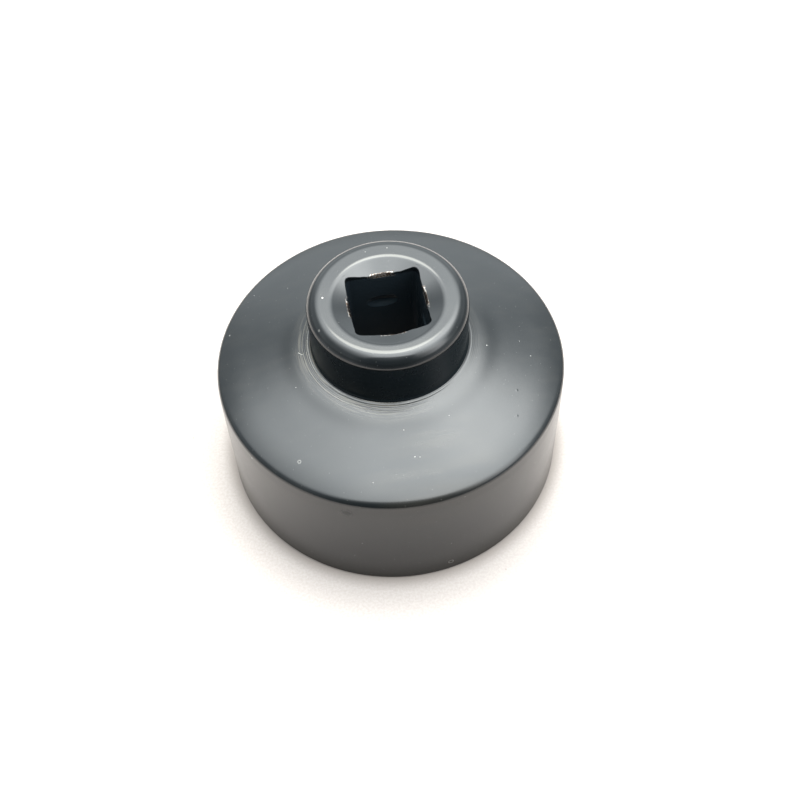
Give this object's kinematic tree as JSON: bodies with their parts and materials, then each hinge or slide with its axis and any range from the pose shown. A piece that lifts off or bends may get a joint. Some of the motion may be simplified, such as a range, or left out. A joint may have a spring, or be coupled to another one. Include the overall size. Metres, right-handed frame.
{
  "type": "oil filter wrench",
  "caption": "Cup-type oil filter wrench: a round black-coated steel cup with a hexagonal mouth, a conical crown and a welded hub with a square drive hole.",
  "frame": {"origin": "centre of the open rim, on the face that the wrench stands on", "axes": "+Z is the wrench's axis, from the open rim up through the crown to the drive hub; the square's sides lie along X and Y, and two corners of the hexagon lie on X"},
  "size_m": [0.0474, 0.0474, 0.0322],
  "materials": {
    "black_coat": "satin-gloss black baked coating over steel"
  },
  "bodies": {
    "root": {"cup_shell": "black_coat", "drive_hub": "black_coat", "hub_weld": "black_coat"}
  },
  "joints": []
}
